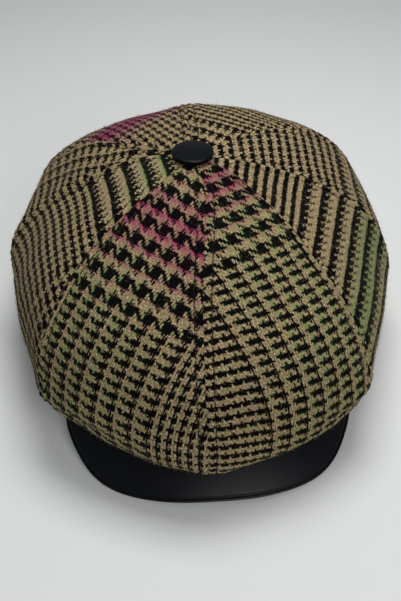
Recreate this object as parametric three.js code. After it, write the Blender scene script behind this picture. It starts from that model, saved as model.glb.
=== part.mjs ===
// Eight-panel newsboy cap of thick brushed wool with a leather peak, in millimetres.
// The peak points along -Y, +Z is up. Left and right are as seen from the front, so +X is right.
// The cap stands on z = 0 on the rear of its headband and on the two lowest points of the peak.
import * as THREE from 'three';

// Crown seams in order round the cap. Azimuth 0 is -Y (front), 90 is +X, 180 is the rear.
// reach: radius of the widest level. widest: height of that level. fullness: superellipse exponent.
// flat: how far the panel after the seam is drawn in at its middle, as a share of its reach.
// lean: degrees the seam turns aside close to the button.
const seams = [
  { name: 'front', azimuth: -2, reach: 133.5, widest: 41, fullness: 2.23, flat: 0.022, lean: 11 },
  { name: 'front_right', azimuth: 42.5, reach: 129, widest: 46, fullness: 2, flat: 0.054, lean: 16 },
  { name: 'right', azimuth: 89, reach: 121, widest: 51, fullness: 1.8, flat: 0.022, lean: -3 },
  { name: 'rear_right', azimuth: 125, reach: 132.5, widest: 56, fullness: 2.12, flat: 0.028, lean: 8 },
  { name: 'rear', azimuth: 181, reach: 133, widest: 55, fullness: 2.05, flat: 0.03, lean: 1 },
  { name: 'rear_left', azimuth: 235, reach: 130, widest: 56, fullness: 1.92, flat: 0.03, lean: 4 },
  { name: 'left', azimuth: 263, reach: 120.5, widest: 54, fullness: 1.72, flat: 0.042, lean: -14 },
  { name: 'front_left', azimuth: 313, reach: 126.5, widest: 47, fullness: 2.25, flat: 0.023, lean: 8 },
];

// The panel named in each row lies between the seam of the same row above and the next one.
const panelNames = [
  'panel_front_right', 'panel_side_front_right', 'panel_side_rear_right', 'panel_rear_right',
  'panel_rear_left', 'panel_side_rear_left', 'panel_side_front_left', 'panel_front_left',
];

// The crown's upright axis, placed so that the whole cap's bounds are centred on the origin.
const axis = { x: -0.7, y: 1.1 };

// Apex of the crown, with its small offset from that axis.
const apex = { x: -3, y: 1, z: 138 };
// Radius from the apex over which a seam's lean dies away.
const leanRadius = 50;
// Thickness of the brushed wool, the gap between neighbouring pieces, and the hole under the button.
const cloth = 2;
const seamGap = 0.3;
const crownHole = 7.5;

// Cloth that turns under from the widest level to the headband: a cubic curve in radius and height.
// drop: straight fall of its first handle. lowIn and lowDrop: second handle, inward and down.
const turnUnder = { drop: 27, lowIn: 22, lowDrop: 36 };

// Soft folds: a raised line with a hollow below it, running round the crown.
// from and to: azimuth of the ends. levelFrom and levelTo: the level at those ends, where 0 is the
// apex, 1 the widest level and 2 the hem. rise: height of the line. spread: its half width in levels.
const folds = [
  { name: 'front_left_crease', from: 296, to: 342, levelFrom: 1.12, levelTo: 0.9, rise: 2.2, spread: 0.06 },
  { name: 'front_right_crease', from: 22, to: 60, levelFrom: 0.9, levelTo: 1.1, rise: 1.4, spread: 0.06 },
];

// Headband: an upright oval ring of doubled cloth, its foot tilted up towards the peak.
// Its rear, beyond flatFrom, lies flat on the ground.
const band = {
  halfWidth: 82, halfLength: 102, shift: 5, height: 26, rise: 20, flatFrom: 94, wall: 3, round: 0.9,
};
// How far below the headband's top edge the crown's hem meets it.
const hemBelowTop = 4;

// Outer edge of the peak's top face, from the middle (along 0) to the corner (along 1), right half.
const peakEdge = [
  { along: 0, x: 0, y: -135.5, z: 4.4 },
  { along: 0.15, x: 20, y: -134.6, z: 3.9 },
  { along: 0.3, x: 38, y: -131, z: 2.8 },
  { along: 0.42, x: 52, y: -125.8, z: 1.9 },
  { along: 0.53, x: 63.5, y: -118.5, z: 1.7 },
  { along: 0.64, x: 72.8, y: -108, z: 2.9 },
  { along: 0.74, x: 79.5, y: -96, z: 5.3 },
  { along: 0.82, x: 83.5, y: -86, z: 7.9 },
  { along: 0.9, x: 85.8, y: -73, z: 11.2 },
  { along: 0.96, x: 83.5, y: -57, z: 14.8 },
  { along: 1, x: 77, y: -43, z: 17.6 },
];
// Peak: angle of its inner corner round the band, thickness, arch between inner and outer edge.
const peak = { innerAngle: 63, thick: 2.6, arch: 2.0, aboveFoot: 2.9, gap: 0.35 };

// Covered button: disc with a shoulder, a low dome and a shank through the crown hole.
const button = {
  radius: 12, shoulder: 2.6, dome: 1.3, round: 1.1, shankRadius: 6.4, shank: 3, lift: 0.95, tilt: -3,
};

const wool = new THREE.MeshStandardMaterial({ color: 0x6f5f45, roughness: 0.95, metalness: 0 });
const bandWool = new THREE.MeshStandardMaterial({ color: 0x5c4f3b, roughness: 0.95, metalness: 0 });
const leather = new THREE.MeshStandardMaterial({ color: 0x15161a, roughness: 0.45, metalness: 0 });

const radians = (degrees) => degrees * Math.PI / 180;

// Slopes of a smooth cubic curve through the knots; with a period it closes on itself.
function knotSlopes(knots, values, period) {
  const count = knots.length;
  const slope = new Array(count).fill(0);
  for (let pass = 0; pass < 80; pass += 1) {
    for (let i = 0; i < count; i += 1) {
      const open = period === 0;
      if (open && (i === 0 || i === count - 1)) {
        const j = i === 0 ? 1 : count - 2;
        slope[i] = (values[j] - values[i]) / (knots[j] - knots[i]);
        continue;
      }
      const a = (i + count - 1) % count;
      const b = (i + 1) % count;
      const before = open ? knots[i] - knots[a] : (knots[i] - knots[a] + period) % period;
      const after = open ? knots[b] - knots[i] : (knots[b] - knots[i] + period) % period;
      const riseBefore = (values[i] - values[a]) / before;
      const riseAfter = (values[b] - values[i]) / after;
      const pull = 3 * (after * riseBefore + before * riseAfter);
      slope[i] = (pull - after * slope[a] - before * slope[b]) / (2 * (before + after));
    }
  }
  return slope;
}

// Value at a place between two knots, from the knots' values and slopes.
function hermite(t, width, startValue, startSlope, endValue, endSlope) {
  const t2 = t * t;
  const t3 = t2 * t;
  return (2 * t3 - 3 * t2 + 1) * startValue + (t3 - 2 * t2 + t) * width * startSlope
    + (3 * t2 - 2 * t3) * endValue + (t3 - t2) * width * endSlope;
}

const seamAzimuths = seams.map((row) => row.azimuth);
const columns = {};
for (const key of ['reach', 'widest', 'fullness']) {
  const values = seams.map((row) => row[key]);
  columns[key] = { values, slopes: knotSlopes(seamAzimuths, values, 360) };
}

// A column of the seam table, read smoothly at any azimuth.
function crownValue(key, azimuth) {
  const start = seamAzimuths[0];
  const turned = ((azimuth - start) % 360 + 360) % 360 + start;
  let i = seams.length - 1;
  while (i > 0 && seamAzimuths[i] > turned) i -= 1;
  const j = (i + 1) % seams.length;
  const width = (seamAzimuths[j] - seamAzimuths[i] + 360) % 360;
  const { values, slopes } = columns[key];
  return hermite((turned - seamAzimuths[i]) / width, width, values[i], slopes[i], values[j], slopes[j]);
}

// Distance from the crown's axis to the headband's outer oval, grown by extra, at an azimuth.
function bandReach(azimuth, extra) {
  const dx = Math.sin(radians(azimuth));
  const dy = -Math.cos(radians(azimuth));
  const a2 = (band.halfWidth + extra) ** 2;
  const b2 = (band.halfLength + extra) ** 2;
  const p = dx * dx / a2 + dy * dy / b2;
  const q = -2 * band.shift * dy / b2;
  const r = band.shift * band.shift / b2 - 1;
  return (-q + Math.sqrt(q * q - 4 * p * r)) / (2 * p);
}

// Height of the headband's foot, rising from the rear to the front.
function bandFoot(y) {
  const front = band.shift - band.halfLength;
  return Math.max(0, band.rise * (band.flatFrom - y) / (band.flatFrom - front));
}

// Height of all the soft folds at one place of the crown.
function foldHeight(azimuth, level) {
  let height = 0;
  for (const fold of folds) {
    let place = azimuth;
    while (place < fold.from - 90) place += 360;
    while (place > fold.to + 90) place -= 360;
    const along = (place - fold.from) / (fold.to - fold.from);
    if (along <= 0 || along >= 1) continue;
    const fade = Math.sin(Math.PI * along) ** 1.5;
    const offset = level - (fold.levelFrom + (fold.levelTo - fold.levelFrom) * along);
    const line = Math.exp(-((offset / fold.spread) ** 2));
    const hollow = Math.exp(-(((offset - 2 * fold.spread) / (1.4 * fold.spread)) ** 2));
    height += fold.rise * fade * (line - 0.8 * hollow);
  }
  return height;
}

// Point of the crown's outer face at an azimuth and a level (0 apex, 1 widest, 2 hem).
// drawIn is the share by which the reach is drawn in there.
function crownPoint(azimuth, level, drawIn) {
  const reach = crownValue('reach', azimuth) * (1 - drawIn);
  const widest = crownValue('widest', azimuth);
  const fullness = crownValue('fullness', azimuth);
  const sine = Math.sin(radians(azimuth));
  const cosine = Math.cos(radians(azimuth));
  if (level <= 1) {
    const swing = level * Math.PI / 2;
    const radius = reach * Math.sin(swing) ** (2 / fullness);
    const up = Math.max(Math.cos(swing), 0) ** (2 / fullness);
    return new THREE.Vector3(
      radius * sine + apex.x * up,
      -radius * cosine + apex.y * up,
      widest + (apex.z - widest) * up,
    );
  }
  const t = Math.min(level - 1, 1);
  const hem = bandReach(azimuth, seamGap);
  const hemHeight = bandFoot(-hem * cosine) + band.height - hemBelowTop;
  const w0 = (1 - t) ** 3;
  const w1 = 3 * t * (1 - t) ** 2;
  const w2 = 3 * t * t * (1 - t);
  const w3 = t ** 3;
  const radius = (w0 + w1) * reach + w2 * (reach - turnUnder.lowIn) + w3 * hem;
  const fall = w1 * turnUnder.drop + w2 * turnUnder.lowDrop;
  const height = (w0 + w1 + w2) * widest - fall + w3 * hemHeight;
  return new THREE.Vector3(radius * sine, -radius * cosine, height);
}

// Direction that faces outwards from the smooth crown at an azimuth and a level.
function crownNormal(azimuth, level) {
  const step = 0.004;
  const high = Math.min(level + step, 2);
  const low = Math.max(level - step, 0.01);
  const along = crownPoint(azimuth, high, 0).sub(crownPoint(azimuth, low, 0));
  const around = crownPoint(azimuth + 0.5, level, 0).sub(crownPoint(azimuth - 0.5, level, 0));
  return along.cross(around).normalize();
}

// Azimuth of a seam at a level; the lean grows towards the button.
function seamAzimuth(index, level) {
  const row = seams[index % seams.length];
  const turns = Math.floor(index / seams.length) * 360;
  const radius = row.reach * Math.sin(Math.min(level, 1) * Math.PI / 2);
  return row.azimuth + turns + row.lean * Math.exp(-((radius / leanRadius) ** 2));
}

// Level at which the crown's radius equals a given one.
function levelAtRadius(azimuth, radius) {
  const share = radius / crownValue('reach', azimuth);
  return Math.asin(share ** (crownValue('fullness', azimuth) / 2)) * 2 / Math.PI;
}

// Closed solid from two grids of points: outer(i, j) faces outwards, inner(i, j) lies behind it.
function shellSolid(columnsCount, rowsCount, outer, inner) {
  const positions = [];
  const index = [];
  const stride = columnsCount + 1;
  const layer = stride * (rowsCount + 1);
  for (const face of [outer, inner]) {
    for (let j = 0; j <= rowsCount; j += 1) {
      for (let i = 0; i <= columnsCount; i += 1) {
        const point = face(i, j);
        positions.push(point.x, point.y, point.z);
      }
    }
  }
  const quad = (a, b, c, d) => index.push(a, b, c, a, c, d);
  for (let j = 0; j < rowsCount; j += 1) {
    for (let i = 0; i < columnsCount; i += 1) {
      const a = j * stride + i;
      quad(a, a + stride, a + stride + 1, a + 1);
      quad(layer + a, layer + a + 1, layer + a + stride + 1, layer + a + stride);
    }
  }
  for (let i = 0; i < columnsCount; i += 1) {
    const top = i;
    const foot = rowsCount * stride + i;
    quad(top, top + 1, layer + top + 1, layer + top);
    quad(foot + 1, foot, layer + foot, layer + foot + 1);
  }
  for (let j = 0; j < rowsCount; j += 1) {
    const left = j * stride;
    const right = j * stride + columnsCount;
    quad(left + stride, left, layer + left, layer + left + stride);
    quad(right, right + stride, layer + right + stride, layer + right);
  }
  const geometry = new THREE.BufferGeometry();
  geometry.setAttribute('position', new THREE.Float32BufferAttribute(positions, 3));
  geometry.setIndex(index);
  geometry.computeVertexNormals();
  return geometry;
}

function addPiece(group, name, geometry, material) {
  geometry.translate(axis.x, axis.y, 0);
  const mesh = new THREE.Mesh(geometry, material.clone());
  mesh.name = name;
  group.add(mesh);
}

// One crown panel, from the hole under the button down to the headband.
function crownPanel(gore) {
  const across = 8;
  const topRows = 15;
  const lowRows = 8;
  const rows = topRows + lowRows;
  const place = (i, j) => {
    const holeLeft = seamAzimuth(gore, 0.05);
    const holeRight = seamAzimuth(gore + 1, 0.05);
    const start = levelAtRadius(holeLeft + (holeRight - holeLeft) * (i / across), crownHole);
    const level = j <= topRows ? start + (1 - start) * (j / topRows) : 1 + (j - topRows) / lowRows;
    const left = seamAzimuth(gore, level);
    const right = seamAzimuth(gore + 1, level);
    const width = crownPoint(left, level, 0).distanceTo(crownPoint(right, level, 0));
    const trim = seamGap / 2 / width;
    const share = trim + (1 - 2 * trim) * (i / across);
    const azimuth = left + (right - left) * share;
    const drawIn = seams[gore].flat * 4 * share * (1 - share);
    const normal = crownNormal(azimuth, level);
    const point = crownPoint(azimuth, level, drawIn).addScaledVector(normal, foldHeight(azimuth, level));
    return { point, normal };
  };
  const outer = (i, j) => place(i, j).point;
  const inner = (i, j) => {
    const { point, normal } = place(i, j);
    return point.addScaledVector(normal, -cloth);
  };
  return shellSolid(across, rows, outer, inner);
}

// Closed ring: a section of points carried round the headband's oval.
function headbandRing() {
  const around = 72;
  const { halfWidth, halfLength, shift, height, wall, round } = band;
  const section = [
    [0, round], [0, height - round], [-round, height], [-wall + round, height],
    [-wall, height - round], [-wall, round], [-wall + round, 0], [-round, 0],
  ];
  const positions = [];
  const index = [];
  for (let i = 0; i < around; i += 1) {
    const angle = 2 * Math.PI * i / around;
    const sine = Math.sin(angle);
    const cosine = Math.cos(angle);
    const outward = new THREE.Vector2(sine / halfWidth, -cosine / halfLength).normalize();
    const x = halfWidth * sine;
    const y = shift - halfLength * cosine;
    for (const [out, up] of section) {
      positions.push(x + outward.x * out, y + outward.y * out, bandFoot(y) + up);
    }
  }
  const count = section.length;
  for (let i = 0; i < around; i += 1) {
    for (let k = 0; k < count; k += 1) {
      const a = i * count + k;
      const b = i * count + (k + 1) % count;
      const c = ((i + 1) % around) * count + (k + 1) % count;
      const d = ((i + 1) % around) * count + k;
      index.push(a, d, c, a, c, b);
    }
  }
  const geometry = new THREE.BufferGeometry();
  geometry.setAttribute('position', new THREE.Float32BufferAttribute(positions, 3));
  geometry.setIndex(index);
  geometry.computeVertexNormals();
  return geometry;
}

const edgeKnots = peakEdge.map((row) => row.along);
const edgeCurves = ['x', 'y', 'z'].map((key) => {
  const values = peakEdge.map((row) => row[key]);
  const mirrored = peakEdge.slice(1).reverse().map((row) => (key === 'x' ? -row.x : row[key]));
  const knots = [...edgeKnots.slice(1).reverse().map((along) => -along), ...edgeKnots];
  const all = [...mirrored, ...values];
  return { knots, values: all, slopes: knotSlopes(knots, all, 0) };
});

// Point of the peak's outer edge at a place along it, from -1 to 1.
function peakEdgePoint(along) {
  const [x, y, z] = edgeCurves.map(({ knots, values, slopes }) => {
    let i = 0;
    while (i < knots.length - 2 && knots[i + 1] <= along) i += 1;
    const width = knots[i + 1] - knots[i];
    return hermite((along - knots[i]) / width, width, values[i], slopes[i], values[i + 1], slopes[i + 1]);
  });
  return new THREE.Vector3(x, y, z);
}

// Point of the peak's top face: along its width from -1 to 1, out from the band (0) to the edge (1).
function peakTop(along, out) {
  const angle = radians(peak.innerAngle * along);
  const x = (band.halfWidth + peak.gap) * Math.sin(angle);
  const y = band.shift - (band.halfLength + peak.gap) * Math.cos(angle);
  const innerPoint = new THREE.Vector3(x, y, bandFoot(y) + peak.aboveFoot);
  const point = innerPoint.lerp(peakEdgePoint(along), out);
  point.z += peak.arch * 4 * out * (1 - out);
  return point;
}

// Peak of stiff leather: a curved sheet with a rounded outer edge.
function peakSheet() {
  const across = 52;
  // Places from the band to the outer edge, with the share of the thickness rounded off at each.
  const rows = [
    { out: 0, round: 0 }, { out: 0.15, round: 0 }, { out: 0.32, round: 0 }, { out: 0.5, round: 0 },
    { out: 0.68, round: 0 }, { out: 0.84, round: 0 }, { out: 0.94, round: 0.03 }, { out: 0.98, round: 0.14 },
    { out: 1, round: 0.32 },
  ];
  const reachAcross = 0.996;
  const top = (i, j, depth) => {
    const along = reachAcross * (2 * i / across - 1);
    const { out, round } = rows[j];
    const point = peakTop(along, out);
    const sideways = peakTop(along + 0.002, out).sub(peakTop(along - 0.002, out));
    const outward = peakTop(along, Math.min(out + 0.01, 1)).sub(peakTop(along, Math.max(out - 0.01, 0)));
    const normal = outward.cross(sideways).normalize();
    if (out === 0) normal.set(0, 0, 1);
    return point.addScaledVector(normal, -peak.thick * (depth === 0 ? round : 1 - round));
  };
  const geometry = shellSolid(across, rows.length - 1, (i, j) => top(i, j, 0), (i, j) => top(i, j, 1));
  // The peak is set down until its two lowest points touch the ground.
  geometry.computeBoundingBox();
  geometry.translate(0, 0, -geometry.boundingBox.min.z);
  return geometry;
}

// Covered button turned about its own axis, tilted back a little with its shank in the crown hole.
function coveredButton() {
  const { radius, shoulder, dome, round, shankRadius, shank, lift, tilt } = button;
  const profile = [[0, -shank], [shankRadius - 0.4, -shank], [shankRadius, -shank + 0.4], [shankRadius, 0]];
  profile.push([radius - 0.6, 0], [radius, 0.6], [radius, shoulder - round]);
  for (const angle of [30, 60, 90]) {
    profile.push([
      radius - round + round * Math.cos(radians(angle)),
      shoulder - round + round * Math.sin(radians(angle)),
    ]);
  }
  const flat = radius - round;
  for (const share of [0.85, 0.65, 0.45, 0.25]) {
    profile.push([flat * share, shoulder + dome * (1 - share * share)]);
  }
  profile.push([0, shoulder + dome]);
  const geometry = new THREE.LatheGeometry(profile.map(([r, z]) => new THREE.Vector2(r, z)), 40);
  geometry.rotateX(Math.PI / 2);
  geometry.rotateX(radians(tilt));
  geometry.translate(apex.x, apex.y, apex.z + lift);
  return geometry;
}

const group = new THREE.Group();
group.name = 'winter_cap';
for (let gore = 0; gore < seams.length; gore += 1) {
  addPiece(group, panelNames[gore], crownPanel(gore), wool);
}
addPiece(group, 'headband', headbandRing(), bandWool);
addPiece(group, 'peak', peakSheet(), leather);
addPiece(group, 'crown_button', coveredButton(), leather);

export default group;
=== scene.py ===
import math
import bpy
import numpy as np
from mathutils import Matrix, Vector


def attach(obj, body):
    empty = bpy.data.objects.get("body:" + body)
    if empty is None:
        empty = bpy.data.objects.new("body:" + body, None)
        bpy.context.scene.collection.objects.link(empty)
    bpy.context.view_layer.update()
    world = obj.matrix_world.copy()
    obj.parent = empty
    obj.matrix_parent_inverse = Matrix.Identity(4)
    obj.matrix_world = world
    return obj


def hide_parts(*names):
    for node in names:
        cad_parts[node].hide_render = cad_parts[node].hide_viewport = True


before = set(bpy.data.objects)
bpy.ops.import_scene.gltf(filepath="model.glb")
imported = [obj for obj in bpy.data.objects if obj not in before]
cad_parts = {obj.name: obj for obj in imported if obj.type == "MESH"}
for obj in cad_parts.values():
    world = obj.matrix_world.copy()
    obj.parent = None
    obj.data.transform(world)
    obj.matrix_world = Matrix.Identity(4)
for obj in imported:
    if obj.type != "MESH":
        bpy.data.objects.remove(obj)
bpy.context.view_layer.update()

# Winter cap: eight wool panels, a headband, a leather peak and a leather button.
# Lengths are millimetres until a mesh is made. The peak points along -Y, and right is +X.
millimetre = 0.001
print("frame loaded:", len(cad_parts), "pieces")


# camera

camera = {
    "azimuth": -3.8,  # degrees round the cap, from straight in front
    "elevation": 45.0,
    "distance": 487.0,
    "target": (-0.7, 1.1, 26.0),
    "focalPixels": 738.0,  # focal length in pixels of the photograph
    "frameHeight": 601,
    "sensor": 36.0,
    "clip": (0.01, 20),  # metres
}


def makeCamera(settings):
    # the camera stands at target + back * distance, with its up direction square to back and right
    azimuth, elevation = math.radians(settings["azimuth"]), math.radians(settings["elevation"])
    back = Vector((
        math.sin(azimuth) * math.cos(elevation),
        -math.cos(azimuth) * math.cos(elevation),
        math.sin(elevation),
    ))
    right = Vector((math.cos(azimuth), math.sin(azimuth), 0))
    up = back.cross(right)
    data = bpy.data.cameras.new("camera")
    data.sensor_width = settings["sensor"]
    data.lens = settings["focalPixels"] * settings["sensor"] / settings["frameHeight"]
    data.clip_start, data.clip_end = settings["clip"]
    view = bpy.data.objects.new("camera", data)
    place = (Vector(settings["target"]) + back * settings["distance"]) * millimetre
    turn = Matrix((right, up, back)).transposed().to_4x4()
    view.matrix_world = Matrix.Translation(place) @ turn
    bpy.context.scene.collection.objects.link(view)
    bpy.context.scene.camera = view


makeCamera(camera)
print("camera placed")


# curves and lines

slopePasses = 80


def unit(vectors):
    # each vector divided by its length
    return vectors / np.maximum(np.linalg.norm(vectors, axis=-1, keepdims=True), 1e-9)


def bell(distance, width):
    # exp(-(distance / width)^2)
    return np.exp(-(distance / width)**2)


def smoothStep(value, low, high):
    # 3 t^2 - 2 t^3, with t going from 0 at low to 1 at high
    t = np.clip((value - low) / (high - low), 0, 1)
    return t * t * (3 - 2 * t)


def lengthAlong(line):
    # sum of the distances between neighbouring points, from the first point to each of them
    return np.concatenate([[0], np.cumsum(np.linalg.norm(np.diff(line, axis=0), axis=1))])


def quarterArc(x, y, radius, fromDegrees, steps):
    # (x + radius cos t, y + radius sin t) over 90 degrees
    turns = np.radians(np.linspace(fromDegrees, fromDegrees + 90, steps))
    return [(x + radius * math.cos(turn), y + radius * math.sin(turn)) for turn in turns]


def knotSlopes(knots, values, period):
    # slopes that make the cubic's second derivative continuous at every knot, found by repeated passes
    count = len(knots)
    slope = np.zeros(count)
    for _ in range(slopePasses):
        for i in range(count):
            before, after = (i - 1) % count, (i + 1) % count
            if not period and i in (0, count - 1):
                other = 1 if i == 0 else count - 2
                slope[i] = (values[other] - values[i]) / (knots[other] - knots[i])
                continue
            left = (knots[i] - knots[before]) % period if period else knots[i] - knots[before]
            right = (knots[after] - knots[i]) % period if period else knots[after] - knots[i]
            pull = right * (values[i] - values[before]) / left + left * (values[after] - values[i]) / right
            slope[i] = (3 * pull - right * slope[before] - left * slope[after]) / (2 * (left + right))
    return slope


def hermite(t, width, startValue, startSlope, endValue, endSlope):
    # cubic through two values with two slopes, t from 0 to 1 over the width
    return ((2 * t**3 - 3 * t**2 + 1) * startValue + (t**3 - 2 * t**2 + t) * width * startSlope
            + (3 * t**2 - 2 * t**3) * endValue + (t**3 - t**2) * width * endSlope)


# crown shape: the same curves as the CAD panels

crown = {
    # azimuth in degrees, reach and height of the widest level in mm, exponent of the curve over the top,
    # share drawn in between this seam and the next, and degrees that the seam turns aside by the button
    "columns": ("azimuth", "reach", "widest", "fullness", "flat", "lean"),
    "seams": {
        "front": (-2, 133.5, 41, 2.23, 0.022, 11),
        "front_right": (42.5, 129, 46, 2.0, 0.054, 16),
        "right": (89, 121, 51, 1.8, 0.022, -3),
        "rear_right": (125, 132.5, 56, 2.12, 0.028, 8),
        "rear": (181, 133, 55, 2.05, 0.03, 1),
        "rear_left": (235, 130, 56, 1.92, 0.03, 4),
        "left": (263, 120.5, 54, 1.72, 0.042, -14),
        "front_left": (313, 126.5, 47, 2.25, 0.023, 8),
    },
    "axis": (-0.7, 1.1),
    "apex": (-3, 1, 138),
    "leanRadius": 50,
    "cloth": 2.0,
    "gap": 0.3,
    "hole": 7.5,
    "turnUnder": {"drop": 27, "lowIn": 22, "lowDrop": 36},
    "folds": (  # from and to in degrees, level at both, rise in mm, spread in levels
        {"from": 296, "to": 342, "levelFrom": 1.12, "levelTo": 0.9, "rise": 2.2, "spread": 0.06},
        {"from": 22, "to": 60, "levelFrom": 0.9, "levelTo": 1.1, "rise": 1.4, "spread": 0.06},
    ),
    # steps for the normal, in levels and degrees, and the levels that it stays between
    "probe": {"level": 0.004, "azimuth": 0.5, "top": 0.01, "hem": 2},
}
panelNames = (
    "panel_front_right", "panel_side_front_right", "panel_side_rear_right", "panel_rear_right",
    "panel_rear_left", "panel_side_rear_left", "panel_side_front_left", "panel_front_left",
)
band = {
    "halfWidth": 82, "halfLength": 102, "shift": 5, "height": 26, "rise": 20, "flatFrom": 94,
    "wall": 3, "round": 0.9, "hemBelowTop": 4,
}
seamRows = np.array(list(crown["seams"].values()), float)
seamCount = len(seamRows)
seamColumn = {name: seamRows[:, k] for k, name in enumerate(crown["columns"])}
crownSlopes = {
    name: knotSlopes(seamColumn["azimuth"], seamColumn[name], 360) for name in ("reach", "widest", "fullness")
}
crownTop = np.array([crown["apex"][k] + crown["axis"][k] for k in (0, 1)])  # where the seams meet


def crownValue(name, azimuth):
    # a column of the seam table at any azimuth, by the closed cubic through its eight values
    knots, values, slopes = seamColumn["azimuth"], seamColumn[name], crownSlopes[name]
    turned = (azimuth - knots[0]) % 360 + knots[0]
    i = np.clip(np.searchsorted(knots, turned, side="right") - 1, 0, seamCount - 1)
    j = (i + 1) % seamCount
    width = (knots[j] - knots[i]) % 360
    return hermite((turned - knots[i]) / width, width, values[i], slopes[i], values[j], slopes[j])


def bandReach(azimuth, extra):
    # distance from the axis to the oval (x/a)^2 + ((y - shift)/b)^2 = 1 along a ray
    dx, dy = np.sin(np.radians(azimuth)), -np.cos(np.radians(azimuth))
    a2, b2 = (band["halfWidth"] + extra)**2, (band["halfLength"] + extra)**2
    p = dx * dx / a2 + dy * dy / b2
    q = -2 * band["shift"] * dy / b2
    r = band["shift"]**2 / b2 - 1
    return (-q + np.sqrt(q * q - 4 * p * r)) / (2 * p)


def bandFoot(y):
    # height of the headband's foot: 0 behind flatFrom, then straight up to the front
    front = band["shift"] - band["halfLength"]
    return np.maximum(0, band["rise"] * (band["flatFrom"] - y) / (band["flatFrom"] - front))


def foldHeight(azimuth, level):
    # each fold: rise * sin(pi along)^1.5 * (bell(offset, spread) - 0.8 bell(offset - 2 spread, 1.4 spread))
    total = np.zeros(np.broadcast(azimuth, level).shape)
    for fold in crown["folds"]:
        middle = (fold["from"] + fold["to"]) / 2
        place = (azimuth - middle + 180) % 360 - 180 + middle
        along = np.clip((place - fold["from"]) / (fold["to"] - fold["from"]), 0, 1)
        offset = level - (fold["levelFrom"] + (fold["levelTo"] - fold["levelFrom"]) * along)
        ridge = bell(offset, fold["spread"])
        hollow = bell(offset - 2 * fold["spread"], 1.4 * fold["spread"])
        total = total + fold["rise"] * np.sin(np.pi * along)**1.5 * (ridge - 0.8 * hollow)
    return total


def crownPoint(azimuth, level, drawIn=0.0):
    # level 0 to 1: radius = reach sin^(2/n), height = widest + (apex - widest) cos^(2/n)
    # level 1 to 2: cubic curve from the widest level, down and inwards, up to the hem on the headband
    azimuth, level = np.broadcast_arrays(np.asarray(azimuth, float), np.asarray(level, float))
    reach = crownValue("reach", azimuth) * (1 - drawIn)
    widest, fullness = crownValue("widest", azimuth), crownValue("fullness", azimuth)
    sine, cosine = np.sin(np.radians(azimuth)), np.cos(np.radians(azimuth))
    swing = np.minimum(level, 1) * np.pi / 2
    up = np.clip(np.cos(swing), 0, 1)**(2 / fullness)
    radius = reach * np.sin(swing)**(2 / fullness)
    height = widest + (crown["apex"][2] - widest) * up
    t = np.clip(level - 1, 0, 1)
    w0, w1, w2, w3 = (1 - t)**3, 3 * t * (1 - t)**2, 3 * t * t * (1 - t), t**3
    hem = bandReach(azimuth, crown["gap"])
    hemHeight = bandFoot(-hem * cosine) + band["height"] - band["hemBelowTop"]
    under = crown["turnUnder"]
    low = level > 1
    radius = np.where(low, (w0 + w1) * reach + w2 * (reach - under["lowIn"]) + w3 * hem, radius)
    fall = w1 * under["drop"] + w2 * under["lowDrop"]
    height = np.where(low, (w0 + w1 + w2) * widest - fall + w3 * hemHeight, height)
    up = np.where(low, 0, up)
    x = radius * sine + crown["apex"][0] * up + crown["axis"][0]
    y = -radius * cosine + crown["apex"][1] * up + crown["axis"][1]
    return np.stack([x, y, height], -1)


def crownNormal(azimuth, level):
    # cross product of the steps along the level and round the azimuth
    probe = crown["probe"]
    step, turn = probe["level"], probe["azimuth"]
    high, low = np.minimum(level + step, probe["hem"]), np.maximum(level - step, probe["top"])
    along = crownPoint(azimuth, high) - crownPoint(azimuth, low)
    around = crownPoint(azimuth + turn, level) - crownPoint(azimuth - turn, level)
    return unit(np.cross(along, around))


def seamAzimuth(index, level):
    # azimuth + lean * bell(radius, leanRadius), so a seam turns aside close to the button
    seam, turns = index % seamCount, 360 * (index // seamCount)
    radius = seamColumn["reach"][seam] * np.sin(np.minimum(level, 1) * np.pi / 2)
    return seamColumn["azimuth"][seam] + turns + seamColumn["lean"][seam] * bell(radius, crown["leanRadius"])


def panelWidth(gore, level):
    # straight distance between the two seams of a panel
    left, right = crownPoint(seamAzimuth(gore, level), level), crownPoint(seamAzimuth(gore + 1, level), level)
    return np.linalg.norm(left - right, axis=-1)


def panelMiddle(gore):
    # azimuth halfway between the two seams of a panel, at its widest
    return (seamAzimuth(gore, 1.0) + seamAzimuth(gore + 1, 1.0)) / 2


def levelAtRadius(azimuth, radius):
    # crownPoint's formula for the radius, solved for the level
    share = radius / crownValue("reach", azimuth)
    return np.arcsin(share**(crownValue("fullness", azimuth) / 2)) * 2 / np.pi


# relief of the sewn cloth, in mm

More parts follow.
